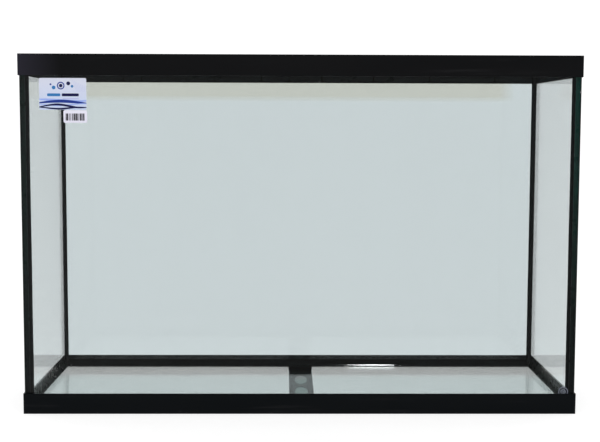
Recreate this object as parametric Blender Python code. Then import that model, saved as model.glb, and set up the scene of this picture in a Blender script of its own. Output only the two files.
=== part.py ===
"""Rimmed glass aquarium: five panes, two moulded plastic frames and the silicone between them.

Metres, +Z up.  The long front pane faces -Y.  The origin lies under the middle of the tank, on
the surface that the tank stands on.
"""

from math import cos, pi, sin

import bmesh
import bpy

MM = 0.001

# Glass box, measured outside the panes.
GLASS_WIDTH = 914.4 * MM
GLASS_DEPTH = 315.7 * MM
PANE = 8.0 * MM  # thickness of every pane
ARRIS = 0.6 * MM  # small chamfer ground along every glass edge

# Whole tank and the two frames that grip the glass.
TANK_HEIGHT = 593.0 * MM
TOP_SKIRT_HEIGHT = 35.0 * MM
BASE_SKIRT_HEIGHT = 34.0 * MM
SKIRT = 2.2 * MM  # wall of both skirts
SKIRT_CORNER = 2.4 * MM  # outer corner radius of both frames
EASED_EDGE = 0.5 * MM  # moulding radius along the skirts' free edges

# Web of the base frame, which carries the walls, and its inner rib that reaches the ground.
BASE_WEB_LOW = 3.2 * MM
BASE_WEB_HIGH = 5.6 * MM
BASE_WEB_REACH = 9.0 * MM  # inward from the outside of the glass
RIB = 2.0 * MM

# Web of the top frame, which is also the ledge that a lid lies on, sunk below the rim.
LEDGE_SUNK = 12.0 * MM
LEDGE_THICKNESS = 2.5 * MM
LEDGE_REACH = 22.0 * MM
INNER_SKIRT_DROP = 7.5 * MM  # short inner skirt behind the glass
INNER_SKIRT = 2.0 * MM
LEDGE_LIP_DROP = 3.0 * MM
LEDGE_LIP = 1.8 * MM

# Cross braces moulded with the frames.
BASE_BRACE_WIDTH = 43.0 * MM
BASE_BRACE_MIDDLE = 3.2 * MM  # it sits a little to the right of the middle
BASE_BRACE_HOLE_LENGTH = 78.0 * MM
BASE_BRACE_HOLE_WIDTH = 23.0 * MM
BASE_BRACE_HOLE_SPACING = 93.0 * MM  # between the middles of the two holes
HOLE_STEPS = 32
TOP_BRACE_WIDTH = 60.0 * MM
BRACE_INSET = 0.1 * MM  # braces are this much thinner than the web, on each side

# Silicone and clearances.
FIT = 0.3 * MM  # gap between touching pieces
JOINT = 1.6 * MM  # slot between two panes, filled with silicone
CHANNEL_SEALANT = 0.7 * MM  # silicone between a pane's end and a frame's web
SEALANT_INSET = 0.4 * MM
BEAD_LEG = 6.3 * MM  # inner fillets, measured along each pane
END_BEAD_RISE = 12.0 * MM  # how far the front and rear floor fillets climb the wall
SIDE_BEAD_RISE = 18.4 * MM  # the left and right ones, which climb higher
BEAD_LIP = 0.4 * MM
BEAD_STEPS = 8
MITRE_GAP = 0.22 * MM  # each floor bead stops this far short of the mitre line

# Paper label and barcode sticker on the outside of the front pane, at its upper left.
LABEL_LEFT = -425.2 * MM
LABEL_WIDTH = 76.5 * MM
LABEL_TOP = 553.8 * MM
LABEL_HEIGHT = 51.3 * MM
BARCODE_LEFT = -386.2 * MM
BARCODE_WIDTH = 38.3 * MM
BARCODE_TOP = 501.8 * MM
BARCODE_HEIGHT = 20.3 * MM
PAPER = 0.2 * MM
PAPER_CORNER = 2.6 * MM
CORNER_STEPS = 6

# Worked out from the above.
HALF_WIDTH = GLASS_WIDTH / 2
HALF_DEPTH = GLASS_DEPTH / 2
INNER_X = HALF_WIDTH - PANE
INNER_Y = HALF_DEPTH - PANE
SKIRT_OUT = FIT + SKIRT
GLASS_LOW = BASE_WEB_HIGH + FIT + CHANNEL_SEALANT + FIT
FLOOR_TOP = GLASS_LOW + PANE
LEDGE_HIGH = TANK_HEIGHT - LEDGE_SUNK
LEDGE_LOW = LEDGE_HIGH - LEDGE_THICKNESS
GLASS_HIGH = LEDGE_LOW - FIT - CHANNEL_SEALANT - FIT

GLASS = ("clear_glass", (0.78, 0.86, 0.85), 0.03)
PLASTIC = ("black_plastic", (0.012, 0.012, 0.013), 0.42)
SILICONE = ("black_silicone", (0.008, 0.009, 0.008), 0.3)
LABEL_PAPER = ("label_paper", (0.72, 0.74, 0.88), 0.35)
STICKER_PAPER = ("sticker_paper", (0.85, 0.86, 0.9), 0.45)


def clear_scene():
    for thing in list(bpy.data.objects):
        bpy.data.objects.remove(thing, do_unlink=True)


def material(name, colour, roughness):
    """A plain Principled material, made once for each finish."""
    found = bpy.data.materials.get(name)
    if found:
        return found
    made = bpy.data.materials.new(name)
    made.use_nodes = True
    shader = made.node_tree.nodes["Principled BSDF"]
    shader.inputs["Base Color"].default_value = (*colour, 1.0)
    shader.inputs["Roughness"].default_value = roughness
    shader.inputs["Metallic"].default_value = 0.0
    if name == GLASS[0]:
        shader.inputs["Transmission Weight"].default_value = 1.0
    return made


def add_object(name, bm, finish, assembly, smooth=False):
    """Turns a bmesh into a named object that belongs to the tank."""
    bmesh.ops.recalc_face_normals(bm, faces=bm.faces)
    mesh = bpy.data.meshes.new(name)
    bm.to_mesh(mesh)
    bm.free()
    if smooth:
        mesh.shade_smooth()
        mesh.set_sharp_from_angle(angle=pi / 6)
    mesh.materials.append(material(*finish))
    made = bpy.data.objects.new(name, mesh)
    bpy.context.scene.collection.objects.link(made)
    made.parent = assembly
    return made


def block(low, high):
    """A closed box between two corners."""
    bm = bmesh.new()
    bmesh.ops.create_cube(bm, size=1.0)
    for vert in bm.verts:
        for axis in range(3):
            vert.co[axis] = low[axis] if vert.co[axis] < 0 else high[axis]
    return bm


def between(profile, first, last):
    """A solid between two copies of an outline; first and last give each point its place."""
    bm = bmesh.new()
    ends = [[bm.verts.new(place(*point)) for point in profile] for place in (first, last)]
    count = len(profile)
    for index in range(count):
        after = (index + 1) % count
        bm.faces.new((ends[0][index], ends[0][after], ends[1][after], ends[1][index]))
    bm.faces.new(ends[0])
    bm.faces.new(ends[1])
    return bm


def swept_around(profile, half_width, half_depth):
    """Carries a closed outline of (outward, height) points around a rectangle, with mitred corners."""
    bm = bmesh.new()
    rings = []
    for side_x, side_y in ((1, -1), (1, 1), (-1, 1), (-1, -1)):
        corner = [
            bm.verts.new((side_x * (half_width + out), side_y * (half_depth + out), height))
            for out, height in profile
        ]
        rings.append(corner)
    count = len(profile)
    for here, there in zip(rings, rings[1:] + rings[:1]):
        for index in range(count):
            after = (index + 1) % count
            bm.faces.new((here[index], there[index], there[after], here[after]))
    bmesh.ops.recalc_face_normals(bm, faces=bm.faces)
    return bm


def round_outer_corners(bm, reach_x, reach_y):
    """Rounds the four upright edges on the outside of a frame."""
    corners = []
    for edge in bm.edges:
        upright = abs(edge.verts[0].co.z - edge.verts[1].co.z) > SKIRT
        outside = all(
            abs(vert.co.x) > reach_x - FIT / 2 and abs(vert.co.y) > reach_y - FIT / 2
            for vert in edge.verts
        )
        if upright and outside:
            corners.append(edge)
    bmesh.ops.bevel(bm, geom=corners, offset=SKIRT_CORNER, segments=4, profile=0.5, affect="EDGES")


def ease_edges(bm, height):
    """Rounds the edges that run around a skirt's free rim at one height."""
    rim = []
    for edge in bm.edges:
        level = all(abs(vert.co.z - height) < FIT / 10 for vert in edge.verts)
        if level and edge.is_manifold and abs(edge.calc_face_angle()) > pi / 4:
            rim.append(edge)
    bmesh.ops.bevel(bm, geom=rim, offset=EASED_EDGE, segments=2, profile=0.5, affect="EDGES")


def add_tool(name, bm, assembly):
    """A hidden body that a Boolean joins to a frame or cuts out of it."""
    tool = add_object(name, bm, PLASTIC, assembly)
    tool.hide_render = True
    tool.display_type = "WIRE"
    return tool


def add_boolean(target, tool, operation):
    change = target.modifiers.new(tool.name, "BOOLEAN")
    change.operation = operation
    change.solver = "EXACT"
    change.object = tool


def brace_body(middle, width, high, low, rib_low, half_length):
    """A flat strip from front to rear with a rib down each long edge."""
    left, right = middle - width / 2, middle + width / 2
    outline = [
        (left, rib_low),
        (left + RIB, rib_low),
        (left + RIB, low),
        (right - RIB, low),
        (right - RIB, rib_low),
        (right, rib_low),
        (right, high),
        (left, high),
    ]
    return between(
        outline,
        lambda x, z: (x, -half_length, z),
        lambda x, z: (x, half_length, z),
    )


def oval_hole(middle_x, middle_y, length, width, low, high):
    """An upright elliptical prism with its long axis along Y."""
    outline = []
    for step in range(HOLE_STEPS):
        angle = 2 * pi * step / HOLE_STEPS
        x = middle_x + width / 2 * cos(angle)
        y = middle_y + length / 2 * sin(angle)
        outline.append((x, y))
    return between(outline, lambda x, y: (x, y, low), lambda x, y: (x, y, high))


def make_base_frame(assembly):
    """The skirt around the foot of the glass, its web, and the brace under the floor pane."""
    outline = [
        (SKIRT_OUT, 0),
        (SKIRT_OUT, BASE_SKIRT_HEIGHT),
        (FIT, BASE_SKIRT_HEIGHT),
        (FIT, BASE_WEB_HIGH),
        (-BASE_WEB_REACH, BASE_WEB_HIGH),
        (-BASE_WEB_REACH, 0),
        (-BASE_WEB_REACH + RIB, 0),
        (-BASE_WEB_REACH + RIB, BASE_WEB_LOW),
        (FIT, BASE_WEB_LOW),
        (FIT, 0),
    ]
    bm = swept_around(outline, HALF_WIDTH, HALF_DEPTH)
    round_outer_corners(bm, HALF_WIDTH + SKIRT_OUT, HALF_DEPTH + SKIRT_OUT)
    ease_edges(bm, BASE_SKIRT_HEIGHT)
    frame = add_object("base_frame", bm, PLASTIC, assembly, smooth=True)

    brace = brace_body(
        BASE_BRACE_MIDDLE,
        BASE_BRACE_WIDTH,
        BASE_WEB_HIGH - BRACE_INSET,
        BASE_WEB_LOW + BRACE_INSET,
        FIT,
        HALF_DEPTH - BASE_WEB_REACH + RIB / 2,
    )
    add_boolean(frame, add_tool("base_brace_tool", brace, assembly), "UNION")
    for name, side in (("front", -1), ("rear", 1)):
        hole = oval_hole(
            BASE_BRACE_MIDDLE,
            side * BASE_BRACE_HOLE_SPACING / 2,
            BASE_BRACE_HOLE_LENGTH,
            BASE_BRACE_HOLE_WIDTH,
            0,
            2 * BASE_WEB_HIGH,
        )
        add_boolean(frame, add_tool(f"{name}_brace_hole_tool", hole, assembly), "DIFFERENCE")


def make_top_frame(assembly):
    """The rim around the top of the glass, with a sunk ledge for a lid and a brace across it."""
    skirt_low = TANK_HEIGHT - TOP_SKIRT_HEIGHT
    inner_face = -PANE - FIT
    outline = [
        (SKIRT_OUT, skirt_low),
        (SKIRT_OUT, TANK_HEIGHT),
        (FIT, TANK_HEIGHT),
        (FIT, LEDGE_HIGH),
        (-LEDGE_REACH, LEDGE_HIGH),
        (-LEDGE_REACH, LEDGE_LOW - LEDGE_LIP_DROP),
        (-LEDGE_REACH + LEDGE_LIP, LEDGE_LOW - LEDGE_LIP_DROP),
        (-LEDGE_REACH + LEDGE_LIP, LEDGE_LOW),
        (inner_face - INNER_SKIRT, LEDGE_LOW),
        (inner_face - INNER_SKIRT, LEDGE_LOW - INNER_SKIRT_DROP),
        (inner_face, LEDGE_LOW - INNER_SKIRT_DROP),
        (inner_face, LEDGE_LOW),
        (FIT, LEDGE_LOW),
        (FIT, skirt_low),
    ]
    bm = swept_around(outline, HALF_WIDTH, HALF_DEPTH)
    round_outer_corners(bm, HALF_WIDTH + SKIRT_OUT, HALF_DEPTH + SKIRT_OUT)
    ease_edges(bm, TANK_HEIGHT)
    ease_edges(bm, skirt_low)
    frame = add_object("top_frame", bm, PLASTIC, assembly, smooth=True)

    brace = brace_body(
        0,
        TOP_BRACE_WIDTH,
        LEDGE_HIGH - BRACE_INSET,
        LEDGE_LOW + BRACE_INSET,
        LEDGE_LOW - LEDGE_LIP_DROP + FIT,
        HALF_DEPTH - LEDGE_REACH + LEDGE_LIP / 2,
    )
    add_boolean(frame, add_tool("top_brace_tool", brace, assembly), "UNION")


def make_pane(name, low, high, assembly):
    pane = add_object(name, block(low, high), GLASS, assembly)
    arris = pane.modifiers.new("arris", "BEVEL")
    arris.width = ARRIS
    arris.segments = 1
    arris.limit_method = "ANGLE"


def make_panes(assembly):
    """Front and rear panes run the full width, and the sides and the floor fit between them."""
    side_y = INNER_Y - JOINT
    floor_x = INNER_X - JOINT
    for name, side in (("front", -1), ("rear", 1)):
        near, far = sorted((side * INNER_Y, side * HALF_DEPTH))
        low = (-HALF_WIDTH, near, GLASS_LOW)
        high = (HALF_WIDTH, far, GLASS_HIGH)
        make_pane(f"{name}_pane", low, high, assembly)
    for name, side in (("left", -1), ("right", 1)):
        near, far = sorted((side * INNER_X, side * HALF_WIDTH))
        low = (near, -side_y, GLASS_LOW)
        high = (far, side_y, GLASS_HIGH)
        make_pane(f"{name}_pane", low, high, assembly)
    floor_low = (-floor_x, -side_y, GLASS_LOW)
    floor_high = (floor_x, side_y, FLOOR_TOP)
    make_pane("floor_pane", floor_low, floor_high, assembly)


def corners():
    """Name and X and Y sides of each upright corner of the tank."""
    for front_name, side_y in (("front", -1), ("rear", 1)):
        for side_name, side_x in (("left", -1), ("right", 1)):
            yield f"{front_name}_{side_name}", side_x, side_y


def make_corner_seams(assembly):
    """Silicone in the slot between each side pane's end and the front or rear pane."""
    for name, side_x, side_y in corners():
        x_range = sorted((side_x * INNER_X, side_x * (HALF_WIDTH - FIT)))
        y_range = sorted((side_y * (INNER_Y - JOINT + FIT), side_y * (INNER_Y - FIT)))
        low = (x_range[0], y_range[0], GLASS_LOW + FIT)
        high = (x_range[1], y_range[1], GLASS_HIGH - FIT)
        add_object(f"{name}_corner_seam", block(low, high), SILICONE, assembly)


def make_floor_seams(assembly):
    """Silicone in the slot between the floor pane's edges and the walls."""
    low_z, high_z = GLASS_LOW + FIT, FLOOR_TOP - FIT
    end_x, end_y = INNER_X - JOINT, INNER_Y - JOINT
    for name, side in (("front", -1), ("rear", 1)):
        near, far = sorted((side * (end_y + FIT), side * (INNER_Y - FIT)))
        seam = block((-end_x, near, low_z), (end_x, far, high_z))
        add_object(f"{name}_floor_seam", seam, SILICONE, assembly)
    for name, side in (("left", -1), ("right", 1)):
        near, far = sorted((side * (end_x + FIT), side * (INNER_X - FIT)))
        seam = block((near, -end_y, low_z), (far, end_y, high_z))
        add_object(f"{name}_floor_seam", seam, SILICONE, assembly)


def bead_outline(rise=BEAD_LEG):
    """Cross-section of a tooled fillet: a leg along each pane and a hollow face between them."""
    outline = [(0, 0), (BEAD_LEG, 0)]
    for step in range(BEAD_STEPS + 1):
        angle = pi / 2 * step / BEAD_STEPS
        across = BEAD_LEG - (BEAD_LEG - BEAD_LIP) * sin(angle)
        up = rise - (rise - BEAD_LIP) * cos(angle)
        outline.append((across, up))
    outline.append((0, rise))
    return outline


def make_corner_beads(assembly):
    """Fillets up the four inner corners, from the floor beads to the top frame."""
    low = FLOOR_TOP + FIT + SIDE_BEAD_RISE + FIT
    high = LEDGE_LOW - INNER_SKIRT_DROP - FIT
    for name, side_x, side_y in corners():

        def at(height, side_x=side_x, side_y=side_y):
            return lambda a, b: (
                side_x * (INNER_X - FIT - a),
                side_y * (INNER_Y - FIT - b),
                height,
            )

        bead = between(bead_outline(), at(low), at(high))
        add_object(f"{name}_corner_bead", bead, SILICONE, assembly, smooth=True)


def make_floor_beads(assembly):
    """Fillets around the floor, mitred where they meet."""
    base = FLOOR_TOP + FIT
    run_x, run_y = INNER_X - FIT, INNER_Y - FIT
    for name, side in (("front", -1), ("rear", 1)):

        def at_end(end, side=side):
            return lambda a, b: (end * (run_x - a - MITRE_GAP), side * (run_y - a), base + b)

        bead = between(bead_outline(END_BEAD_RISE), at_end(-1), at_end(1))
        add_object(f"{name}_floor_bead", bead, SILICONE, assembly, smooth=True)
    for name, side in (("left", -1), ("right", 1)):

        def at_end(end, side=side):
            return lambda a, b: (side * (run_x - a), end * (run_y - a - MITRE_GAP), base + b)

        bead = between(bead_outline(SIDE_BEAD_RISE), at_end(-1), at_end(1))
        add_object(f"{name}_floor_bead", bead, SILICONE, assembly, smooth=True)


def make_frame_sealants(assembly):
    """Strips of silicone between the panes' ends and the webs of both frames."""
    levels = (
        ("base_frame", BASE_WEB_HIGH + FIT),
        ("top_frame", LEDGE_LOW - FIT - CHANNEL_SEALANT),
    )
    for frame, low in levels:
        high = low + CHANNEL_SEALANT
        reach_x, reach_y = HALF_WIDTH - SEALANT_INSET, HALF_DEPTH - SEALANT_INSET
        inner_x, inner_y = INNER_X + SEALANT_INSET, INNER_Y + SEALANT_INSET
        for name, side in (("front", -1), ("rear", 1)):
            near, far = sorted((side * inner_y, side * reach_y))
            strip = block((-reach_x, near, low), (reach_x, far, high))
            add_object(f"{frame}_{name}_sealant", strip, SILICONE, assembly)
        for name, side in (("left", -1), ("right", 1)):
            near, far = sorted((side * inner_x, side * reach_x))
            strip = block((near, -INNER_Y, low), (far, INNER_Y, high))
            add_object(f"{frame}_{name}_sealant", strip, SILICONE, assembly)


def rounded_rectangle(left, right, low, high, radius):
    centres = (
        (right - radius, low + radius, -pi / 2),
        (right - radius, high - radius, 0),
        (left + radius, high - radius, pi / 2),
        (left + radius, low + radius, pi),
    )
    outline = []
    for x, z, start in centres:
        for step in range(CORNER_STEPS + 1):
            angle = start + pi / 2 * step / CORNER_STEPS
            outline.append((x + radius * cos(angle), z + radius * sin(angle)))
    return outline


def make_paper(name, left, width, top, height, finish, assembly):
    """A thin sheet on the outside of the front pane."""
    outline = rounded_rectangle(left, left + width, top - height, top, PAPER_CORNER)
    back = -HALF_DEPTH - FIT
    sheet = between(outline, lambda x, z: (x, back, z), lambda x, z: (x, back - PAPER, z))
    add_object(name, sheet, finish, assembly)


def make_labels(assembly):
    label = (LABEL_LEFT, LABEL_WIDTH, LABEL_TOP, LABEL_HEIGHT)
    make_paper("front_label", *label, LABEL_PAPER, assembly)
    barcode = (BARCODE_LEFT, BARCODE_WIDTH, BARCODE_TOP, BARCODE_HEIGHT)
    make_paper("barcode_sticker", *barcode, STICKER_PAPER, assembly)


def main():
    clear_scene()
    assembly = bpy.data.objects.new("aquarium_tank", None)
    bpy.context.scene.collection.objects.link(assembly)
    make_panes(assembly)
    make_base_frame(assembly)
    make_top_frame(assembly)
    make_corner_seams(assembly)
    make_floor_seams(assembly)
    make_corner_beads(assembly)
    make_floor_beads(assembly)
    make_frame_sealants(assembly)
    make_labels(assembly)


main()
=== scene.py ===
"""Looks for the rimmed glass aquarium: glass, moulded plastic, silicone, label, studio and camera."""

import random
from math import cos, pi, radians, sin

import bmesh
import bpy
from mathutils import Matrix, Vector


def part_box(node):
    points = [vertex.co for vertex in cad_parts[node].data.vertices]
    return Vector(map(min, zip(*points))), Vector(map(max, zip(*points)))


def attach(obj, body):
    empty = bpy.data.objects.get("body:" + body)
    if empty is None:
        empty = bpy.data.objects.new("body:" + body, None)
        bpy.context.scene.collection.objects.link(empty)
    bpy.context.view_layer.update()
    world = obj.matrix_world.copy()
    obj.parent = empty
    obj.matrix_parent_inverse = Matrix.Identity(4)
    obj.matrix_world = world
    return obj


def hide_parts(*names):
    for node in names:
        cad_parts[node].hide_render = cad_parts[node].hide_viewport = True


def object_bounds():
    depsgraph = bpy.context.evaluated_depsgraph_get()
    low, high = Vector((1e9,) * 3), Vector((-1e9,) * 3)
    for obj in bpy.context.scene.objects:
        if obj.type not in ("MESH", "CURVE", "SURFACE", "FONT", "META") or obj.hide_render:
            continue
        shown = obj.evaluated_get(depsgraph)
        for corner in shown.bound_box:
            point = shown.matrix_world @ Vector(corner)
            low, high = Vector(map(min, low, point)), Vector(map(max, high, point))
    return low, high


MM = 0.001
SIDES_X = (("left", -1), ("right", 1))
SIDES_Y = (("front", -1), ("rear", 1))

# Camera: a little left of the middle and just below the top frame.
CAMERA_PLACE = Vector((-0.0242, -1.9979, 0.4823))
CAMERA_YAW = radians(-0.707)
CAMERA_PITCH = radians(-4.977)
CAMERA_ROLL = radians(-0.183)
CAMERA_LENS = 67.5

# Studio.
BACKDROP_LIGHT = 1.12  # what shines through the glass and lights the floor
MIRRORED_ROOM = 0.10  # what glossy surfaces mirror of the dim room around the camera
MIRRORED_LEFT = 0.17  # and of the lighter part of it, to the left
MIRRORED_HIGH, MIRRORED_LOW = 0.52, 0.82  # and of the backdrop, above and below eye level
FLOOR_REACH = 0.42  # how far the floor goes on around the tank before it fades into the backdrop
FLOOR_FADE, FLOOR_END = 0.55, 0.98  # shares of the way out between which the floor fades
FLOOR_TONE = 0.36
FLOOR_DROP = 0.2 * MM
PAD_MARGIN = 1.2 * MM  # from a pad to the frame around it
PAD_CLEARANCE = 0.5 * MM  # from a pale pad to the floor pane
PAD_EDGE = 0.5 * MM
PAD_MOTTLING = 0.02
# the pale pads glow: painted light in the recess under the tank
PAD_TONE, PAD_GLOW = 0.82, 0.865
PAD_TINT = (0.97, 1.0, 0.99)
# the dim pad under the brace is a sheet of painted shade, so the brace's holes show dark
SHADE_TONE, SHADE_GLOW = 0.30, 0.25
SHADE_TINT = (0.66, 1.0, 0.92)
REAR_TINT = (1.01, 0.94, 0.92)  # the rear of the recess is lit a little pinker
REAR_START, REAR_END = 0.045, 0.085  # where along Y that tint comes in
SHADE_SHEET = 1.0 * MM
BRACE_MIDDLE, BRACE_HALF_WIDTH = 3.2 * MM, 21.5 * MM  # of the base frame's brace
LAMP_POWER = 110.0
LAMP_SIZE = (0.17, 0.50)
LAMP_PLACE = (0.312, -0.25, 2.3)
LAMP_TURN = (radians(-8), radians(5), 0)

# Glass.
ARRIS = 0.6 * MM
CLEAR_TINT = (0.770, 0.814, 0.822)
SIDE_TINT = (0.97, 0.985, 0.985)
FLOOR_TINT = (0.86, 0.90, 0.90)
EDGE_GREEN = (0.004, 0.014, 0.011)
FILM_TINT = (0.90, 0.84, 0.73)  # warm smear along the top of the rear pane
FILM_LOW, FILM_HIGH = 0.522, 0.534  # heights between which it comes in
FILM_SHIFT = 0.008  # how far to the left its middle is
FILM_END, FILM_FULL = 0.418, 0.388  # from its middle, where it is gone and where it is full

# Plastic.
PLASTIC_DARK, PLASTIC_LIGHT = (0.0032, 0.0037, 0.0043), (0.0058, 0.0058, 0.0070)
BASE_PAINTED_SHADE = (0.50, 0.72, 0.80)  # the base frame's plastic is a darker, bluer copy of the top one's: painted shade low down by the floor
LEFT_END_SHEEN = (0.0175, 0.0165, 0.0270)  # purplish painted sheen over the top frame's left end, standing in for the reflection of the lighter room to the left
SHEEN_START, SHEEN_FULL = -0.39, -0.455  # where along X it comes in
SHEEN_LOW, SHEEN_HIGH = 0.50, 0.56

# Silicone fillets.
SILICONE_BLACK = (0.004, 0.005, 0.005)
BEHIND_GLASS = (0.008, 0.023, 0.018)  # silicone seen through the front corners
# the first is painted light high up at the right, the second painted shade near the floor
BEHIND_GLASS_LIT, BEHIND_GLASS_SHADED = (0.008, 0.092, 0.068), (0.003, 0.005, 0.007)
BEAD_LEG = 6.3 * MM
FLOOR_BEAD_RISE = {"front": 12.0 * MM, "rear": 12.0 * MM, "left": 18.4 * MM, "right": 18.4 * MM}
WIDE_BEAD_LEG = 7.6 * MM  # the rear right corner has more silicone than the others
BEAD_LIP = 0.25 * MM
BEAD_ARC_STEPS = 10
BEAD_STATION = 6.0 * MM  # between cross-sections
BEAD_CALM = 20.0 * MM  # over this length from each end the width settles
BEAD_WANDER = 0.07  # share of the leg by which the width wanders
BEAD_SWELL = 0.10 * MM
FIT = 0.3 * MM  # the gap between neighbours that touch

# Glue pressed between the glass and the skirts.
GLUE_BITE = 0.02 * MM  # how far it sinks into the glass, so that no air shows between
GLUE_THICKNESS = 0.25 * MM
GLUE_START, GLUE_END = 4.0 * MM, 5.0 * MM  # kept free at the ends of a run
GLUE_PATCH = (25, 140)  # shortest and longest patch, in millimetres
GLUE_GAP = (0.6, 2.4)  # and the gap between two
GLUE_STATION = 4.0 * MM
GLUE_TOP_BAND = (1.0 * MM, 16.0 * MM)  # above the top frame's lower edge
GLUE_BASE_BAND = (22.0 * MM, 0.8 * MM)  # below the base frame's upper edge
GLUE_SIDE_INSET = 9.0 * MM

# Paper and ink.
PAPER_CORNER = 2.6 * MM
INK = 0.012 * MM
BAND_INSET = 0.2 * MM
HAIRLINE = 0.45 * MM
BARCODE_BARS, BARCODE_GAPS = (0.6, 1.0, 1.6, 2.2), (0.4, 0.7, 1.5)  # widths in millimetres
BARCODE_BELOW, BARCODE_ABOVE = 3.6 * MM, 5.2 * MM
BARCODE_LEFT, BARCODE_RIGHT = 3.6 * MM, 4.0 * MM

# Round etched stamp, from the front pane's right edge and the base frame's upper edge.
STAMP_INSET, STAMP_RISE = 18.7 * MM, 3.0 * MM
STAMP_THICKNESS = 0.04 * MM

# Sockets of a Mix node: the factor, then the two colours or the two values.
MIX_FACTOR = 0
MIX_COLOURS = (6, 7)
MIX_VALUES = (2, 3)

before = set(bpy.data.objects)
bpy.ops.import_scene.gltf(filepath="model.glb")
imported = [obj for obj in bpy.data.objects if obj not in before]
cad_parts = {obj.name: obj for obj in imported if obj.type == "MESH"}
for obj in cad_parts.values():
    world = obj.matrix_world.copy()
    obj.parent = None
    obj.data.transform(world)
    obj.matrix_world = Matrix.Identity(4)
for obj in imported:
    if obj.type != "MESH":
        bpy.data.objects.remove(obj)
cad_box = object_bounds()


# ---------------------------------------------------------------- nodes


def node(tree, kind, inputs=None, **settings):
    """Adds a shader node. Inputs are sockets to link or plain values."""
    made = tree.nodes.new(kind)
    for key, value in settings.items():
        setattr(made, key, value)
    for key, value in (inputs or {}).items():
        if isinstance(value, bpy.types.NodeSocket):
            tree.links.new(value, made.inputs[key])
        else:
            made.inputs[key].default_value = value
    return made


def new_material(name):
    made = bpy.data.materials.new(name)
    made.use_nodes = True
    tree = made.node_tree
    return made, tree, tree.nodes["Principled BSDF"]


def set_inputs(shader, tree, **values):
    """Sets or links sockets of a shader; an underscore in a name stands for a space."""
    for key, value in values.items():
        socket = shader.inputs[key.replace("_", " ")]
        if isinstance(value, bpy.types.NodeSocket):
            tree.links.new(value, socket)
        elif isinstance(value, tuple):
            socket.default_value = (*value, 1.0)
        else:
            socket.default_value = value


def place(tree, stretch=(1, 1, 1)):
    """Coordinates in metres, the same as in the frame, stretched per axis."""
    coords = node(tree, "ShaderNodeTexCoord")
    return node(
        tree,
        "ShaderNodeMapping",
        {"Vector": coords.outputs["Object"], "Scale": stretch},
    ).outputs["Vector"]


def noise(tree, scale, detail=3.0, stretch=(1, 1, 1), roughness=0.5):
    return node(
        tree,
        "ShaderNodeTexNoise",
        {
            "Vector": place(tree, stretch),
            "Scale": scale,
            "Detail": detail,
            "Roughness": roughness,
        },
    ).outputs["Fac"]


def remap(tree, value, low, high, to_low, to_high):
    return node(
        tree,
        "ShaderNodeMapRange",
        {"Value": value, "From Min": low, "From Max": high, "To Min": to_low, "To Max": to_high},
    ).outputs["Result"]


def mixed_colour(tree, blend_type, factor, first, second):
    """A colour mixed from two colours or sockets."""
    mixed = node(tree, "ShaderNodeMix", {MIX_FACTOR: factor}, data_type="RGBA", blend_type=blend_type)
    for index, value in zip(MIX_COLOURS, (first, second)):
        if isinstance(value, bpy.types.NodeSocket):
            tree.links.new(value, mixed.inputs[index])
        else:
            mixed.inputs[index].default_value = (*value, 1.0)
    return mixed.outputs[2]


def blend(tree, factor, first, second):
    """A colour between two colours or sockets."""
    return mixed_colour(tree, "MIX", factor, first, second)


def compute(tree, operation, first, second=0.0):
    return node(tree, "ShaderNodeMath", {0: first, 1: second}, operation=operation).outputs[0]


def lerp(tree, factor, first, second):
    """A value between two values or sockets."""
    low, high = MIX_VALUES
    mixed = node(tree, "ShaderNodeMix", {MIX_FACTOR: factor, low: first, high: second}, data_type="FLOAT")
    return mixed.outputs[0]


def spot_parts(tree):
    """The place on the tank in metres, as separate X, Y and Z sockets."""
    return node(tree, "ShaderNodeSeparateXYZ", {"Vector": place(tree)}).outputs


def specks(tree, cells, radius, share):
    """1 inside small round specks that only some cells of a Voronoi pattern hold, and 0 elsewhere."""
    cell = node(tree, "ShaderNodeTexVoronoi", {"Vector": place(tree), "Scale": cells})
    inside = remap(tree, cell.outputs["Distance"], radius, radius * 0.6, 0.0, 1.0)
    chosen = node(tree, "ShaderNodeSeparateColor", {"Color": cell.outputs["Color"]})
    some = compute(tree, "LESS_THAN", chosen.outputs[0], share)
    return compute(tree, "MULTIPLY", inside, some)


def bumped(tree, height, distance):
    return node(
        tree,
        "ShaderNodeBump",
        {"Height": height, "Distance": distance, "Strength": 1.0},
    ).outputs["Normal"]


# ---------------------------------------------------------------- materials


def warm_film(tree, colour):
    """A faint warm smear along the top of the rear pane."""
    spot = spot_parts(tree)
    level = remap(tree, spot["Z"], FILM_LOW, FILM_HIGH, 0.0, 0.8)
    side = compute(tree, "ABSOLUTE", compute(tree, "ADD", spot["X"], FILM_SHIFT))
    inside = remap(tree, side, FILM_END, FILM_FULL, 0.0, 1.0)
    return mixed_colour(tree, "MULTIPLY", compute(tree, "MULTIPLY", level, inside), colour, FILM_TINT)


def glass_material(name, tint, filmed=False):
    """Polished float glass with faint streaks from wiping and a few specks of dust."""
    made, tree, shader = new_material(name)
    streaks = noise(tree, 6.0, 4.0, stretch=(1.0, 1.0, 0.35))
    dust = specks(tree, 55.0, 0.045, 0.10)
    darker = tuple(part * 0.985 for part in tint)
    colour = blend(tree, streaks, darker, tint)
    if filmed:
        colour = warm_film(tree, colour)
    colour = blend(tree, dust, colour, (0.85, 0.85, 0.85))
    set_inputs(
        shader,
        tree,
        Base_Color=colour,
        Roughness=remap(tree, dust, 0.0, 1.0, 0.0, 0.5),
        Transmission_Weight=remap(tree, dust, 0.0, 1.0, 1.0, 0.35),
        IOR=1.5,
    )
    return made


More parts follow.
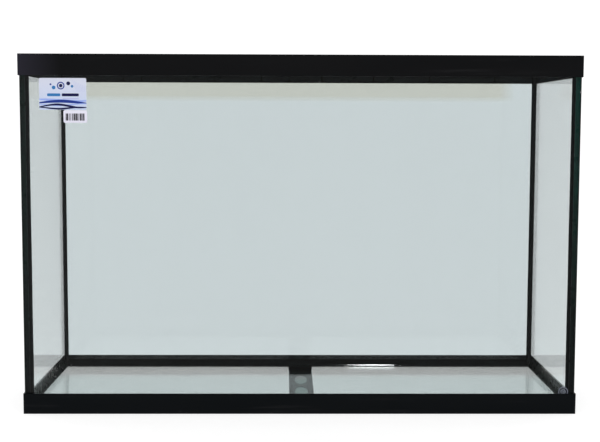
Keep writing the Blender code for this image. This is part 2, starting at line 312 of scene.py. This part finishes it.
def glass_edge_material():
    """Ground glass edges: dark green, dull, with fine grinding marks across them."""
    made, tree, shader = new_material("ground_glass_edge")
    marks = noise(tree, 900.0, 2.0, stretch=(1.0, 1.0, 0.15))
    cloud = noise(tree, 14.0, 3.0)
    deep = blend(tree, cloud, EDGE_GREEN, tuple(part * 1.9 for part in EDGE_GREEN))
    set_inputs(
        shader,
        tree,
        Base_Color=blend(tree, remap(tree, marks, 0.45, 0.75, 0.0, 0.35), deep, (0.03, 0.08, 0.065)),
        Roughness=remap(tree, marks, 0.3, 0.7, 0.22, 0.45),
        Normal=bumped(tree, marks, 0.00004),
        IOR=1.5,
    )
    return made


def plastic_material(name, tone=(1.0, 1.0, 1.0)):
    """Black moulded plastic: satin, finely grained, with dull wiped patches, scuffs and dust; a tone
    below white makes a darker copy of it as painted shade, and a purplish painted sheen lightens the top
    frame's left end.
    """
    made, tree, shader = new_material(name)
    grain = noise(tree, 2600.0, 2.0)
    wiped = noise(tree, 5.0, 4.0, stretch=(0.5, 1.0, 2.2))
    scuffs = noise(tree, 42.0, 5.0, stretch=(0.12, 1.0, 3.0), roughness=0.62)
    scuffed = remap(tree, scuffs, 0.60, 0.74, 0.0, 0.5)
    dust = specks(tree, 120.0, 0.07, 0.07)
    # a tone below white darkens this copy of the plastic: painted shade
    dark = tuple(part * share for part, share in zip(PLASTIC_DARK, tone))
    light = tuple(part * share for part, share in zip(PLASTIC_LIGHT, tone))
    base = blend(tree, wiped, dark, light)
    base = blend(tree, scuffed, base, (0.016, 0.016, 0.018))
    base = blend(tree, dust, base, (0.10, 0.10, 0.10))
    spot = spot_parts(tree)
    # painted sheen: the top frame's left end lightened purplish, standing in for a reflection of the
    # lighter room
    end = remap(tree, spot["X"], SHEEN_START, SHEEN_FULL, 0.0, 0.9)
    painted_sheen = compute(tree, "MULTIPLY", end, remap(tree, spot["Z"], SHEEN_LOW, SHEEN_HIGH, 0.0, 1.0))
    base = blend(tree, painted_sheen, base, LEFT_END_SHEEN)
    rough = remap(tree, wiped, 0.35, 0.65, 0.30, 0.44)
    rough = compute(tree, "ADD", rough, compute(tree, "MULTIPLY", scuffed, 0.25))
    height = lerp(tree, 0.7, grain, scuffs)
    set_inputs(
        shader,
        tree,
        Base_Color=base,
        Roughness=rough,
        Normal=bumped(tree, height, 0.00006),
        Specular_IOR_Level=0.22,
    )
    return made


def silicone_material(name, colour, gloss, painted_light_green=None, shine=0.2, uneven=1.0):
    """Cured silicone: smooth, with slow ripples from the tooling and a little lint.

    Where a green for painted light is given, the silicone shows through glass: painted light makes it
    greener high up at the right, and painted shade makes it darker near the floor.
    """
    made, tree, shader = new_material(name)
    ripples = noise(tree, 90.0, 3.0)
    lint = specks(tree, 160.0, 0.06, 0.04)
    tone = tuple(part * 1.6 + 0.002 for part in colour)
    base = blend(tree, noise(tree, 30.0), colour, tone)
    if painted_light_green:
        spot = spot_parts(tree)
        # painted light: greener high up at the right
        high = remap(tree, spot["Z"], 0.20, 0.52, 0.0, 0.9)
        right = compute(tree, "GREATER_THAN", spot["X"], 0.0)
        base = blend(tree, compute(tree, "MULTIPLY", high, right), base, painted_light_green)
        # painted shade: darker near the floor
        low = remap(tree, spot["Z"], 0.26, 0.05, 0.0, 0.85)
        base = blend(tree, low, base, BEHIND_GLASS_SHADED)
    set_inputs(
        shader,
        tree,
        Base_Color=blend(tree, lint, base, (0.12, 0.12, 0.12)),
        Roughness=remap(tree, ripples, 0.3, 0.7, gloss, gloss + 0.14 * uneven),
        Normal=bumped(tree, ripples, 0.0004 * uneven),
        Specular_IOR_Level=shine,
    )
    return made


def film_material():
    """Glue pressed flat against the glass, which lifts the black behind it to a slate blue."""
    made, tree, shader = new_material("pressed_glue")
    cloud = noise(tree, 60.0, 4.0, stretch=(0.4, 1.0, 1.0))
    set_inputs(
        shader,
        tree,
        Base_Color=blend(tree, cloud, (0.012, 0.018, 0.022), (0.036, 0.048, 0.052)),
        Roughness=remap(tree, cloud, 0.3, 0.7, 0.25, 0.5),
        Normal=bumped(tree, cloud, 0.0001),
        Specular_IOR_Level=0.3,
    )
    return made


def print_material(name, colour):
    """Ink on coated paper, with the paper's fibres just showing."""
    made, tree, shader = new_material(name)
    fibres = noise(tree, 1500.0, 3.0, stretch=(0.4, 1.0, 1.0))
    lighter = tuple(part * 1.12 for part in colour)
    set_inputs(
        shader,
        tree,
        Base_Color=blend(tree, fibres, colour, lighter),
        Roughness=remap(tree, fibres, 0.3, 0.7, 0.28, 0.40),
        Normal=bumped(tree, fibres, 0.00002),
        Specular_IOR_Level=0.35,
    )
    return made


def card_material(name, upper, lower, top, bottom):
    """Paper whose tint shifts from one colour at the top to another at the bottom."""
    made, tree, shader = new_material(name)
    fade = remap(tree, spot_parts(tree)["Z"], bottom, top, 0.0, 1.0)
    fibres = noise(tree, 1500.0, 3.0, stretch=(0.4, 1.0, 1.0))
    base = blend(tree, fade, lower, upper)
    base = blend(tree, remap(tree, fibres, 0.5, 0.8, 0.0, 0.15), base, (0.9, 0.9, 0.95))
    set_inputs(
        shader,
        tree,
        Base_Color=base,
        Roughness=remap(tree, fibres, 0.3, 0.7, 0.30, 0.42),
        Normal=bumped(tree, fibres, 0.00002),
        Specular_IOR_Level=0.35,
    )
    return made


def frosted_material():
    """The etched rings of the glass stamp."""
    made, tree, shader = new_material("etched_frost")
    grit = noise(tree, 900.0, 3.0)
    set_inputs(
        shader,
        tree,
        Base_Color=blend(tree, grit, (0.10, 0.115, 0.15), (0.26, 0.28, 0.36)),
        Roughness=remap(tree, grit, 0.3, 0.7, 0.45, 0.7),
        Alpha=remap(tree, grit, 0.35, 0.65, 0.55, 0.9),
        Normal=bumped(tree, grit, 0.00003),
    )
    return made


def floor_halves():
    """Half the floor's width and depth."""
    corner = cad_box[1]
    return corner[0] + FLOOR_REACH, corner[1] + FLOOR_REACH


def floor_material():
    """Studio floor: matt, faintly mottled, and fading outwards into nothing but the backdrop's glow."""
    made, tree, shader = new_material("studio_floor")
    mottling = noise(tree, 3.0, 4.0)
    half_x, half_y = floor_halves()
    outward = place(tree, (1 / half_x, 1 / half_y, 0.0))
    away = node(tree, "ShaderNodeVectorMath", {0: outward}, operation="LENGTH").outputs["Value"]
    near = remap(tree, away, FLOOR_FADE, FLOOR_END, 1.0, 0.0)
    tone = compute(tree, "MULTIPLY", near, remap(tree, mottling, 0.3, 0.7, FLOOR_TONE * 0.98, FLOOR_TONE))
    glow = compute(tree, "MULTIPLY", compute(tree, "SUBTRACT", 1.0, tone), BACKDROP_LIGHT)
    set_inputs(
        shader,
        tree,
        Base_Color=tone,
        Roughness=0.9,
        Specular_IOR_Level=0.0,
        Emission_Color=(1.0, 1.0, 1.0),
        Emission_Strength=glow,
    )
    return made


def pad_material(name, tone, tint, glow):
    """A sheet under the tank whose glow is painted light, standing in for the light that comes through
    the glass; a dim one is painted shade.
    """
    made, tree, shader = new_material(f"studio_pad_{name}")
    mottling = noise(tree, 12.0, 4.0)
    rearward = remap(tree, spot_parts(tree)["Y"], REAR_START, REAR_END, 0.0, 1.0)
    set_inputs(
        shader,
        tree,
        Base_Color=blend(tree, mottling, (tone - PAD_MOTTLING,) * 3, (tone + PAD_MOTTLING,) * 3),
        Roughness=0.9,
        Specular_IOR_Level=0.0,
        Emission_Color=blend(tree, rearward, tint, REAR_TINT),
        Emission_Strength=glow,
    )
    return made


# ---------------------------------------------------------------- geometry


def add_piece(name, bm, materials, smooth=False):
    """Turns a bmesh into a piece that rides on the tank."""
    bmesh.ops.recalc_face_normals(bm, faces=bm.faces)
    mesh = bpy.data.meshes.new(name)
    bm.to_mesh(mesh)
    bm.free()
    if smooth:
        mesh.shade_smooth()
        mesh.set_sharp_from_angle(angle=radians(40))
    for finish in materials:
        mesh.materials.append(finish)
    piece = bpy.data.objects.new(name, mesh)
    bpy.context.scene.collection.objects.link(piece)
    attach(piece, "root")
    return piece


def slab(outline, back, thickness):
    """A thin upright sheet from an outline of (x, z) points, its back at y = back, facing -Y."""
    bm = bmesh.new()
    rear = [bm.verts.new((x, back, z)) for x, z in outline]
    front = [bm.verts.new((x, back - thickness, z)) for x, z in outline]
    bm.faces.new(rear)
    bm.faces.new(front)
    for index in range(len(outline)):
        after = (index + 1) % len(outline)
        bm.faces.new((rear[index], rear[after], front[after], front[index]))
    return bm


def circle(x, z, radius, steps=36):
    return [
        (x + radius * cos(2 * pi * step / steps), z + radius * sin(2 * pi * step / steps))
        for step in range(steps)
    ]


def ring_slab(x, z, inner, outer, back, thickness, steps=48):
    """A thin flat ring, its back at y = back."""
    bm = bmesh.new()
    loops = []
    for radius, y in ((inner, back), (outer, back), (outer, back - thickness), (inner, back - thickness)):
        loops.append([bm.verts.new((px, y, pz)) for px, pz in circle(x, z, radius, steps)])
    for here, there in zip(loops, loops[1:] + loops[:1]):
        for index in range(steps):
            after = (index + 1) % steps
            bm.faces.new((here[index], here[after], there[after], there[index]))
    return bm


def rounded_rectangle(left, right, low, high, radius, steps=8):
    centres = (
        (right - radius, low + radius, -pi / 2),
        (right - radius, high - radius, 0),
        (left + radius, high - radius, pi / 2),
        (left + radius, low + radius, pi),
    )
    outline = []
    for x, z, start in centres:
        for step in range(steps + 1):
            angle = start + pi / 2 * step / steps
            outline.append((x + radius * cos(angle), z + radius * sin(angle)))
    return outline


def ripple(seed, waves=5):
    """A smooth wandering function of a distance in metres, between about -1 and 1."""
    rng = random.Random(seed)
    parts = [
        (rng.uniform(4.0, 60.0), rng.uniform(0, 2 * pi), rng.uniform(0.4, 1.0)) for _ in range(waves)
    ]
    total = sum(size for _, _, size in parts)
    return lambda s: sum(size * sin(rate * s + start) for rate, start, size in parts) / total


# ---------------------------------------------------------------- panes


def make_pane(name, face, edge):
    """A pane with ground, arrised edges, in place of the CAD block."""
    low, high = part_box(name)
    size = high - low
    thin = min(range(3), key=lambda axis: size[axis])
    bm = bmesh.new()
    bmesh.ops.create_cube(bm, size=1.0)
    for vert in bm.verts:
        for axis in range(3):
            vert.co[axis] = low[axis] if vert.co[axis] < 0 else high[axis]
    bmesh.ops.bevel(bm, geom=list(bm.edges), offset=ARRIS, segments=2, profile=0.5, affect="EDGES")
    bm.normal_update()
    for facet in bm.faces:
        facet.material_index = 0 if abs(facet.normal[thin]) > 0.999 else 1
    piece = add_piece(f"{name}_glass", bm, (face, edge))
    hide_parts(name)


def make_panes():
    edge = glass_edge_material()
    wall = glass_material("clear_glass", CLEAR_TINT)
    side = glass_material("side_glass", SIDE_TINT)
    rear = glass_material("rear_glass", CLEAR_TINT, filmed=True)
    ground = glass_material("floor_glass", FLOOR_TINT)
    for name, face in (
        ("front_pane", wall),
        ("rear_pane", rear),
        ("left_pane", side),
        ("right_pane", side),
        ("floor_pane", ground),
    ):
        make_pane(name, face, edge)


# ---------------------------------------------------------------- silicone


def fillet_outline(leg_a, leg_b):
    """Cross-section of a fillet: legs along both panes and a hollow, tooled face."""
    points = [(0.0, 0.0), (leg_a, 0.0)]
    for step in range(BEAD_ARC_STEPS + 1):
        angle = pi / 2 * step / BEAD_ARC_STEPS
        a = leg_a - (leg_a - BEAD_LIP) * sin(angle)
        b = leg_b - (leg_b - BEAD_LIP) * cos(angle)
        points.append((a, b))
    points.append((0.0, leg_b))
    return points


def swept_fillet(corner, along, length, dir_a, dir_b, leg_a, leg_b, seed, mitred=False):
    """A fillet from corner along a direction, its width wandering as hand-tooled silicone does."""
    wander_a, wander_b, swell = ripple(seed), ripple(seed + 1), ripple(seed + 2, 7)
    stations = max(8, round(length / BEAD_STATION))
    bm = bmesh.new()
    rows = []
    for index in range(stations + 1):
        s = length * index / stations
        calm = min(1.0, min(s, length - s) / BEAD_CALM)
        width_a = leg_a * (1.0 - BEAD_WANDER * calm * (1 + wander_a(s)) / 2)
        width_b = leg_b * (1.0 - BEAD_WANDER * calm * (1 + wander_b(s)) / 2)
        row = []
        for number, (a, b) in enumerate(fillet_outline(width_a, width_b)):
            on_arc = 1 < number < BEAD_ARC_STEPS + 3
            lift = BEAD_SWELL * calm * swell(s) if on_arc else 0.0
            mitre = a * (1 - 2 * index / stations) if mitred else 0.0
            spot = corner + along * (s + mitre) + dir_a * (a + lift) + dir_b * (b + lift)
            row.append(bm.verts.new(spot))
        rows.append(row)
    count = len(rows[0])
    for here, there in zip(rows, rows[1:]):
        for index in range(count):
            after = (index + 1) % count
            bm.faces.new((here[index], here[after], there[after], there[index]))
    bm.faces.new(rows[0])
    bm.faces.new(rows[-1])
    return bm


def inner_faces():
    """Inside of the walls and the top of the floor pane: x, y and z."""
    left_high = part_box("left_pane")[1]
    front_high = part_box("front_pane")[1]
    floor_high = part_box("floor_pane")[1]
    return -left_high.x, -front_high.y, floor_high.z


def make_fillets():
    """Tooled silicone up the four inner corners and around the floor."""
    glossy = silicone_material("black_silicone", SILICONE_BLACK, 0.10)
    dull = silicone_material("dull_black_silicone", (0.006, 0.010, 0.008), 0.22, shine=0.07)
    sleek = silicone_material("sleek_black_silicone", SILICONE_BLACK, 0.03, uneven=0.22)
    floor_looks = {"front": glossy, "rear": sleek, "left": dull, "right": dull}
    wall_x, wall_y, floor_z = inner_faces()
    run_x, run_y, base = wall_x - FIT, wall_y - FIT, floor_z + FIT
    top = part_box("front_left_corner_bead")[1].z
    up = Vector((0, 0, 1))
    seed = 11
    for side_y_name, side_y in SIDES_Y:
        for side_x_name, side_x in SIDES_X:
            wide = side_y_name == "rear" and side_x_name == "right"
            bead = swept_fillet(
                Vector((side_x * run_x, side_y * run_y, base)),
                up,
                top - base,
                Vector((-side_x, 0, 0)),
                Vector((0, -side_y, 0)),
                WIDE_BEAD_LEG if wide else BEAD_LEG,
                BEAD_LEG,
                seed,
            )
            name = f"{side_y_name}_{side_x_name}_corner"
            piece = add_piece(f"{name}_fillet", bead, (glossy,), smooth=True)
            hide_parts(f"{name}_bead")
            seed += 10
    runs = [
        (name, Vector((-run_x, side * run_y, base)), Vector((1, 0, 0)), 2 * run_x, Vector((0, -side, 0)))
        for name, side in SIDES_Y
    ]
    runs += [
        (name, Vector((side * run_x, -run_y, base)), Vector((0, 1, 0)), 2 * run_y, Vector((-side, 0, 0)))
        for name, side in SIDES_X
    ]
    for name, corner, along, length, inward in runs:
        rise = FLOOR_BEAD_RISE[name]
        bead = swept_fillet(corner, along, length, inward, up, BEAD_LEG, rise, seed, mitred=True)
        looks = (floor_looks[name],)
        piece = add_piece(f"{name}_floor_fillet", bead, looks, smooth=True)
        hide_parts(f"{name}_floor_bead")
        seed += 10


def make_glue_film(name, start, along, length, outward, low, high, finish, seed):
    """Patches of glue pressed between a pane and a frame's skirt, with a ragged edge and gaps."""
    rng = random.Random(seed)
    ragged = ripple(seed + 5, 7)
    bm = bmesh.new()
    s = GLUE_START
    while s < length - GLUE_END - MM:
        patch = min(rng.uniform(*GLUE_PATCH) * MM, length - GLUE_END - s)
        steps = max(3, int(patch / GLUE_STATION))
        rows = []
        for index in range(steps + 1):
            t = index / steps
            here = s + patch * t
            bulge = max(0.0, sin(pi * t)) ** 0.35
            middle = (low + high) / 2
            reach = (high - low) / 2 * (0.55 + 0.45 * bulge)
            lower = middle - reach * (0.86 + 0.14 * ragged(here * 3))
            upper = middle + reach * (0.90 + 0.10 * ragged(here * 5 + 1))
            spot = start + along * here
            section = ((0, lower), (0, upper), (GLUE_THICKNESS, upper), (GLUE_THICKNESS, lower))
            rows.append([
                bm.verts.new(spot + outward * depth + Vector((0, 0, height)))
                for depth, height in section
            ])
        for row, next_row in zip(rows, rows[1:]):
            for index in range(4):
                after = (index + 1) % 4
                bm.faces.new((row[index], row[after], next_row[after], next_row[index]))
        bm.faces.new(rows[0])
        bm.faces.new(rows[-1])
        s += patch + rng.uniform(*GLUE_GAP) * MM
    add_piece(name, bm, (finish,), smooth=True)


def make_glue_films():
    """Glue behind both frames' skirts, which shows through the glass from inside the tank."""
    finish = film_material()
    top_low, base_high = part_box("top_frame")[0].z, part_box("base_frame")[1].z
    out_x, out_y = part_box("front_pane")[1].x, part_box("rear_pane")[1].y
    bands = (
        ("top", top_low + GLUE_TOP_BAND[0], top_low + GLUE_TOP_BAND[1]),
        ("base", base_high - GLUE_BASE_BAND[0], base_high - GLUE_BASE_BAND[1]),
    )
    seed = 301
    for band, low, high in bands:
        for name, side in SIDES_Y:
            start = Vector((-out_x, side * (out_y - GLUE_BITE), 0))
            make_glue_film(
                f"{band}_{name}_glue",
                start,
                Vector((1, 0, 0)),
                2 * out_x,
                Vector((0, side, 0)),
                low,
                high,
                finish,
                seed,
            )
            seed += 10
        for name, side in SIDES_X:
            start = Vector((side * (out_x - GLUE_BITE), -out_y + GLUE_SIDE_INSET, 0))
            make_glue_film(
                f"{band}_{name}_glue",
                start,
                Vector((0, 1, 0)),
                2 * (out_y - GLUE_SIDE_INSET),
                Vector((side, 0, 0)),
                low,
                high,
                finish,
                seed,
            )
            seed += 10


# ---------------------------------------------------------------- label


def curve_band(left, right, upper, lower, steps=40):
    """An outline between two curves of x."""
    xs = [left + (right - left) * step / steps for step in range(steps + 1)]
    return [(x, lower(x)) for x in xs] + [(x, upper(x)) for x in reversed(xs)]


def make_label():
    """A pale card with plain bubbles, plain bars, slanted hairlines and blue bands; no lettering."""
    low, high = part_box("front_label")
    card = card_material("label_card", (0.60, 0.62, 0.73), (0.49, 0.57, 0.77), high.z, low.z)
    outline = rounded_rectangle(low.x, high.x, low.z, high.z, PAPER_CORNER)
    sheet = add_piece("label_card", slab(outline, high.y, high.y - low.y), (card,))
    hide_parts("front_label")

    inks = {
        "navy": print_material("ink_navy", (0.005, 0.006, 0.062)),
        "blue": print_material("ink_blue", (0.006, 0.030, 0.24)),
        "sky": print_material("ink_sky", (0.025, 0.16, 0.40)),
        "pale": print_material("ink_pale", (0.27, 0.36, 0.72)),
        "faint": print_material("ink_faint", (0.40, 0.43, 0.66)),
    }
    width, height = high.x - low.x, high.z - low.z

    def at(across, up):
        return low.x + across * width, low.z + up * height

    def add_ink(name, outline, ink, layer=1):
        """Prints an outline. Later layers stand a little prouder, so that they hide earlier ones."""
        add_piece(f"label_{name}", slab(outline, low.y, INK * layer), (inks[ink],))

    x, z = at(0.46, 0.76)
    ring = ring_slab(x, z, 4.4 * MM, 6.2 * MM, low.y, INK)
    add_piece("label_bubble_ring", ring, (inks["blue"],))
    bubbles = (
        ("core", 0.46, 0.76, 2.9, "navy"),
        ("left", 0.31, 0.70, 3.0, "sky"),
        ("right", 0.62, 0.83, 3.1, "navy"),
        ("far", 0.70, 0.74, 2.2, "sky"),
        ("small", 0.245, 0.80, 1.5, "blue"),
    )
    for name, across, up, radius, ink in bubbles:
        x, z = at(across, up)
        add_ink(f"bubble_{name}", circle(x, z, radius * MM), ink)

    bars = (
        ("first", 0.17, 0.45, 0.425, 0.515, "sky"),
        ("second", 0.48, 0.84, 0.425, 0.515, "navy"),
        ("third", 0.50, 0.84, 0.335, 0.365, "faint"),
    )
    for name, start, end, under, over, ink in bars:
        left, bottom = at(start, under)
        right, top = at(end, over)
        add_ink(f"bar_{name}", rounded_rectangle(left, right, bottom, top, (top - bottom) * 0.3), ink)

    for index in range(7):
        left, bottom = at(0.80 + 0.028 * index, 0.56)
        reach, top = 0.26 * width * (1 - 0.13 * index) * 0.35, at(0, 0.93 - 0.03 * index)[1]
        line = [
            (left, bottom),
            (left + HAIRLINE, bottom),
            (left + HAIRLINE - reach, top),
            (left - reach, top),
        ]
        add_ink(f"hairline_{index}", line, "faint")

    bands = (  # name, level, swing, cycles, phase, thickness, ink
        ("wash", 0.300, 0.030, 0.62, 0.30, 0.050, "pale"),
        ("deep", 0.225, 0.045, 0.60, 0.98, 0.048, "blue"),
        ("under", 0.165, 0.030, 0.80, 0.45, 0.020, "pale"),
        ("rising", 0.118, 0.050, 0.95, 0.90, 0.034, "navy"),
        ("falling", 0.056, 0.024, 1.10, 0.30, 0.028, "navy"),
    )
    for layer, (name, level, swing, cycles, phase, thick, ink) in enumerate(bands, start=1):

        def middle(x):
            t = (x - low.x) / width
            return low.z + height * (level + swing * sin(2 * pi * (cycles * t + phase)))

        def half(x):
            t = (x - low.x) / width
            return height * thick * (0.45 + 0.55 * sin(pi * t))

        band = curve_band(
            low.x + BAND_INSET,
            high.x - BAND_INSET,
            lambda x: middle(x) + half(x),
            lambda x: middle(x) - half(x),
        )
        add_ink(f"band_{name}", band, ink, layer)


def make_barcode():
    """A white sticker with plain upright bars of uneven widths, and no digits."""
    low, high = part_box("barcode_sticker")
    paper = card_material("sticker_card", (0.72, 0.71, 0.82), (0.68, 0.67, 0.78), high.z, low.z)
    outline = rounded_rectangle(low.x, high.x, low.z, high.z, PAPER_CORNER)
    sheet = add_piece("barcode_card", slab(outline, high.y, high.y - low.y), (paper,))
    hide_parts("barcode_sticker")
    ink = print_material("ink_black", (0.012, 0.009, 0.014))
    rng = random.Random(7)
    bar_low, bar_high = low.z + BARCODE_BELOW, high.z - BARCODE_ABOVE
    x, end = low.x + BARCODE_LEFT, high.x - BARCODE_RIGHT
    number = 0
    while x < end:
        bar = rng.choice(BARCODE_BARS) * MM
        corners = [(x, bar_low), (x + bar, bar_low), (x + bar, bar_high), (x, bar_high)]
        add_piece(f"barcode_bar_{number}", slab(corners, low.y, INK), (ink,))
        number += 1
        x += bar + rng.choice(BARCODE_GAPS) * MM


def make_glass_stamp():
    """Round etched stamp at the front pane's lower right, half behind the base frame."""
    finish = frosted_material()
    glass_low, glass_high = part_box("front_pane")
    x, z = glass_high.x - STAMP_INSET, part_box("base_frame")[1].z + STAMP_RISE
    rings = (("outer", 6.7, 8.2), ("inner", 2.7, 4.4), ("dot", 0.2, 1.3))
    for name, inner, outer in rings:
        ring = ring_slab(x, z, inner * MM, outer * MM, glass_low.y, STAMP_THICKNESS)
        add_piece(f"glass_stamp_{name}", ring, (finish,))


# ---------------------------------------------------------------- frame nodes, studio, camera


def dress_frame_nodes():
    """Gives the CAD nodes that stay their finished materials."""
    top_plastic = plastic_material("satin_black_plastic")
    shaded_base_plastic = plastic_material("shaded_blue_black_plastic", BASE_PAINTED_SHADE)
    silicone = silicone_material("black_silicone_seam", (0.005, 0.006, 0.006), 0.30)
    seen_edge = silicone_material("silicone_behind_glass", BEHIND_GLASS, 0.25, BEHIND_GLASS_LIT)
    for name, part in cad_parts.items():
        if name == "top_frame":
            finish = top_plastic
        elif name == "base_frame":
            finish = shaded_base_plastic
        elif name.startswith("front") and name.endswith("corner_seam"):
            finish = seen_edge
        else:
            finish = silicone
        part.data.materials.clear()
        part.data.materials.append(finish)


def make_floor():
    """The floor lights what stands on it, and neither gloss nor glass shows it."""
    bm = bmesh.new()
    bmesh.ops.create_grid(bm, x_segments=1, y_segments=1, size=1.0)
    half_x, half_y = floor_halves()
    bmesh.ops.scale(bm, vec=(half_x, half_y, 1.0), verts=bm.verts)
    mesh = bpy.data.meshes.new("studio_floor")
    bm.to_mesh(mesh)
    bm.free()
    mesh.materials.append(floor_material())
    floor = bpy.data.objects.new("studio_floor", mesh)
    floor.location.z = -FLOOR_DROP
    floor.visible_glossy = False
    floor.visible_transmission = False
    bpy.context.scene.collection.objects.link(floor)


def make_pads():
    """Sheets lying on the floor in the recess under the tank: pale ones that glow with painted light, and
    a dim one in the middle, under the brace, which is painted shade.
    """
    pale = pad_material("pale", PAD_TONE, PAD_TINT, PAD_GLOW)
    painted_shade = pad_material("painted_shade", SHADE_TONE, SHADE_TINT, SHADE_GLOW)
    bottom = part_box("base_frame")[0].z
    pane_low, pane_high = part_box("floor_pane")
    brace_left, brace_right = BRACE_MIDDLE - BRACE_HALF_WIDTH, BRACE_MIDDLE + BRACE_HALF_WIDTH
    top = pane_low.z - PAD_CLEARANCE
    spans = (
        ("left", pane_low.x + PAD_MARGIN, brace_left - PAD_MARGIN, top, pale),
        ("middle", brace_left, brace_right, bottom + SHADE_SHEET, painted_shade),
        ("right", brace_right + PAD_MARGIN, pane_high.x - PAD_MARGIN, top, pale),
    )
    for name, left, right, upper, finish in spans:
        bm = bmesh.new()
        bmesh.ops.create_cube(bm, size=1.0)
        for vert in bm.verts:
            vert.co.x = left if vert.co.x < 0 else right
            vert.co.y = pane_low.y + PAD_MARGIN if vert.co.y < 0 else pane_high.y - PAD_MARGIN
            vert.co.z = bottom if vert.co.z < 0 else upper
        bmesh.ops.bevel(bm, geom=list(bm.edges), offset=PAD_EDGE, segments=2, affect="EDGES")
        mesh = bpy.data.meshes.new(f"studio_pad_{name}")
        bm.to_mesh(mesh)
        bm.free()
        mesh.materials.append(finish)
        pad = bpy.data.objects.new(f"studio_pad_{name}", mesh)
        bpy.context.scene.collection.objects.link(pad)


def make_surround():
    """A white surround, and for what glossy surfaces mirror, a dim room in front of the tank."""
    world = bpy.data.worlds.new("white_studio")
    world.use_nodes = True
    tree = world.node_tree
    background = tree.nodes["Background"]
    background.inputs["Color"].default_value = (1.0, 1.0, 1.0, 1.0)
    path = node(tree, "ShaderNodeLightPath")
    coords = node(tree, "ShaderNodeTexCoord")
    toward = node(tree, "ShaderNodeSeparateXYZ", {"Vector": coords.outputs["Generated"]})
    mirrored = compute(tree, "MINIMUM", path.outputs["Glossy Depth"], 1.0)
    backdrop = remap(tree, toward.outputs["Z"], -0.2, 0.2, MIRRORED_LOW, MIRRORED_HIGH)
    behind = remap(tree, toward.outputs["Y"], -0.1, 0.5, 0.0, 1.0)
    room = remap(tree, toward.outputs["X"], -0.24, -0.10, MIRRORED_LEFT, MIRRORED_ROOM)
    seen = lerp(tree, behind, room, backdrop)
    strength = lerp(tree, mirrored, BACKDROP_LIGHT, seen)
    tree.links.new(strength, background.inputs["Strength"])
    bpy.context.scene.world = world


def make_lamp():
    """A lamp overhead, which glints on the rear floor fillet and lights nothing else."""
    lamp = bpy.data.lights.new("softbox", "AREA")
    lamp.shape = "RECTANGLE"
    lamp.size, lamp.size_y = LAMP_SIZE
    lamp.energy = LAMP_POWER
    softbox = bpy.data.objects.new("softbox", lamp)
    softbox.location = LAMP_PLACE
    softbox.rotation_euler = LAMP_TURN
    softbox.visible_camera = False
    softbox.visible_diffuse = False
    softbox.visible_transmission = False
    bpy.context.scene.collection.objects.link(softbox)
    glinting = bpy.data.collections.new("glinting")
    glinting.objects.link(bpy.data.objects["rear_floor_fillet"])
    softbox.light_linking.receiver_collection = glinting


def make_camera():
    view = bpy.data.cameras.new("camera")
    view.lens = CAMERA_LENS
    view.sensor_width = 36.0
    camera = bpy.data.objects.new("camera", view)
    turn = (
        Matrix.Rotation(CAMERA_YAW, 4, "Z")
        @ Matrix.Rotation(CAMERA_PITCH, 4, "X")
        @ Matrix.Rotation(CAMERA_ROLL, 4, "Y")
        @ Matrix.Rotation(pi / 2, 4, "X")
    )
    camera.matrix_world = Matrix.Translation(CAMERA_PLACE) @ turn
    bpy.context.scene.collection.objects.link(camera)
    bpy.context.scene.camera = camera
    bpy.context.scene.view_settings.view_transform = "Standard"


make_camera()
make_surround()
make_floor()
make_pads()
dress_frame_nodes()
make_panes()
make_fillets()
make_lamp()
make_glue_films()
make_label()
make_barcode()
make_glass_stamp()
